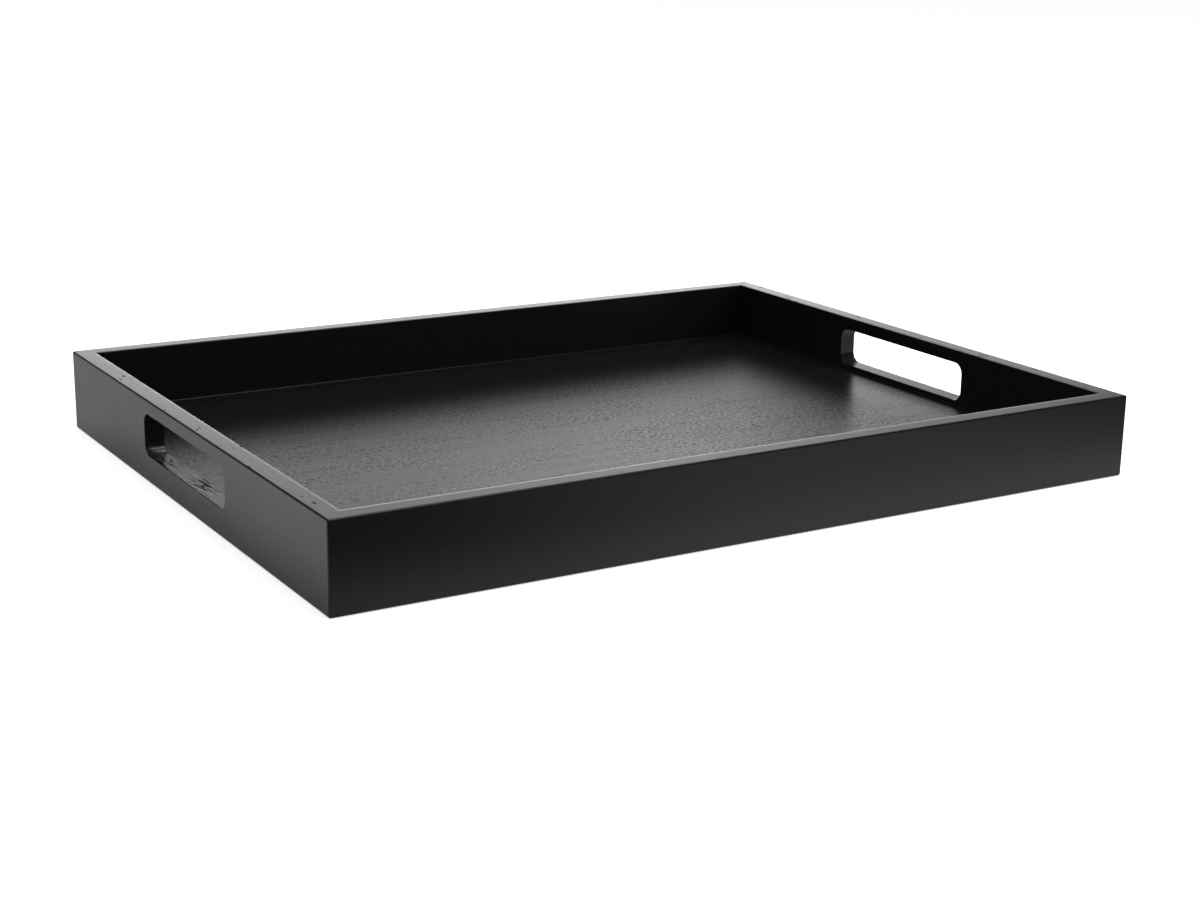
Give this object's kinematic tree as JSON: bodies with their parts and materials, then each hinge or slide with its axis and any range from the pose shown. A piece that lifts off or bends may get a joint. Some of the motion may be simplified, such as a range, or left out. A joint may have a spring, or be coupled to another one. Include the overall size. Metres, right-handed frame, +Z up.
{
  "type": "butler tray",
  "caption": "Rectangular wooden serving tray with mitred upright rails, a recessed veneered base and a rounded hand slot through each short end, finished in satin black.",
  "frame": {"origin": "middle of the footprint, at the level of the table that the tray stands on", "axes": "+X along the tray towards one hand slot, +Y across the tray, +Z up out of the open top"},
  "size_m": [0.52, 0.4, 0.05],
  "materials": {
    "rail_lacquer": "satin black lacquer over fine-grained wood",
    "base_veneer": "satin black lacquer over open-pored veneer",
    "base_core": "raw core layer",
    "biscuit_beech": "raw pressed beech",
    "pin_steel": "bright drawn wire"
  },
  "bodies": {
    "root": {"front_rail": "rail_lacquer", "right_end_rail": "rail_lacquer", "back_rail": "rail_lacquer", "left_end_rail": "rail_lacquer", "base_top_veneer": "base_veneer", "base_core": "base_core", "base_under_veneer": "base_veneer", "front_left_biscuit": "biscuit_beech", "front_right_biscuit": "biscuit_beech", "back_right_biscuit": "biscuit_beech", "back_left_biscuit": "biscuit_beech", "front_left_lower_pin": "pin_steel", "front_left_upper_pin": "pin_steel", "front_right_lower_pin": "pin_steel", "front_right_upper_pin": "pin_steel", "back_right_lower_pin": "pin_steel", "back_right_upper_pin": "pin_steel", "back_left_lower_pin": "pin_steel", "back_left_upper_pin": "pin_steel"}
  },
  "joints": []
}
